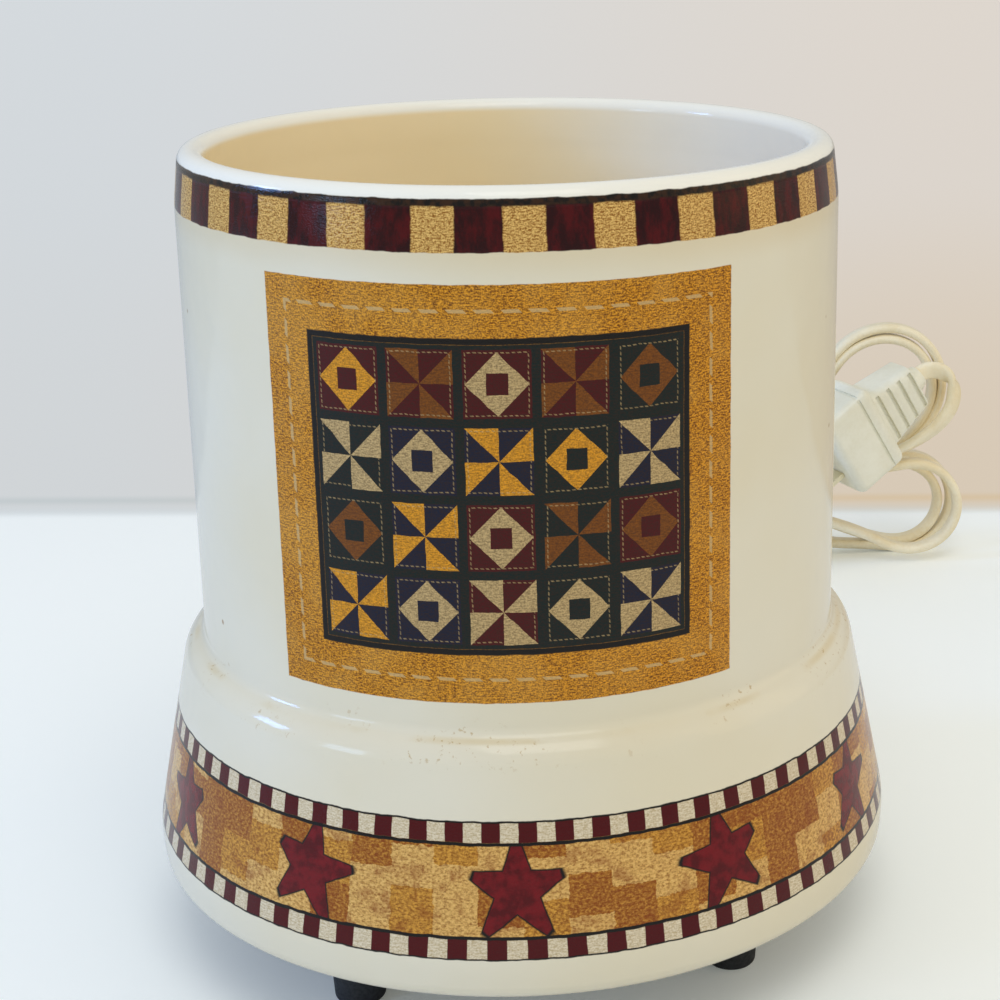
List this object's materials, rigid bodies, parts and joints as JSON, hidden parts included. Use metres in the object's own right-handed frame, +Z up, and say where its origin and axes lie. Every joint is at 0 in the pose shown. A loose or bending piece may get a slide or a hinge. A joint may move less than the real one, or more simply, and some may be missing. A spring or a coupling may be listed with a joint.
{
  "type": "electric candle warmer",
  "caption": "Glazed ceramic crock with a heated plate in the floor of its well for a jar candle, flared base, rubber feet and a flat mains cord with plug.",
  "frame": {"origin": "on the floor under the middle of the crock", "axes": "+Z up along the crock's axis; -Y is the decorated front; the cord leaves the back at +Y"},
  "size_m": [0.2099, 0.2774, 0.1582],
  "materials": {
    "glazed_crock": "white glaze, gloss, with printed bands",
    "hot_plate": "satin",
    "sheet_aluminium": "bright mill finish",
    "fibre_gasket": "woven glass fibre",
    "mica": "translucent sheet",
    "resistance_ribbon": "oxidised",
    "zinc_steel": "zinc plated",
    "brass_terminal": "plain",
    "sleeving": "braided",
    "wire_white": "satin",
    "splice_cap": "translucent",
    "ivory_cord": "soft matt PVC",
    "ivory_moulding": "satin moulded PVC",
    "black_cover": "satin black powder coat",
    "black_rubber": "satin",
    "tie_wire": "satin",
    "blade_brass": "nickel flash"
  },
  "bodies": {
    "root": {"ceramic_housing": "glazed_crock", "warmer_plate": "hot_plate", "plate_gasket": "fibre_gasket", "heat_spreader": "sheet_aluminium", "mica_upper": "mica", "heating_ribbon": "resistance_ribbon", "ribbon_board": "mica", "mica_lower": "mica", "clamp_plate": "zinc_steel", "element_terminals": "brass_terminal", "centre_rod": "zinc_steel", "clamp_washer": "zinc_steel", "clamp_nut": "zinc_steel", "shield_spacer": "zinc_steel", "heat_shield": "sheet_aluminium", "shield_nut": "zinc_steel", "thermal_fuse": "brass_terminal", "fuse_sleeve": "sleeving", "fuse_clip": "zinc_steel", "clip_rivets": "zinc_steel", "wire_terminal_to_fuse": "wire_white", "wire_fuse_to_splice": "wire_white", "wire_terminal_to_splice": "wire_white", "splice_live": "splice_cap", "splice_neutral": "splice_cap", "cord_tail": "ivory_cord", "cord_bushing": "ivory_moulding", "base_cover": "black_cover", "cover_gasket": "fibre_gasket", "foot_screws": "zinc_steel", "foot_nuts": "zinc_steel", "base_washer": "zinc_steel", "base_nut": "zinc_steel", "cord_lead": "ivory_cord", "cord_hank": "ivory_cord", "cord_tie": "tie_wire", "plug_body": "ivory_moulding", "plug_blade_wide": "blade_brass", "plug_blade_narrow": "blade_brass", "rubber_foot_1": "black_rubber", "rubber_foot_2": "black_rubber", "rubber_foot_3": "black_rubber", "rubber_foot_4": "black_rubber"}
  },
  "joints": []
}
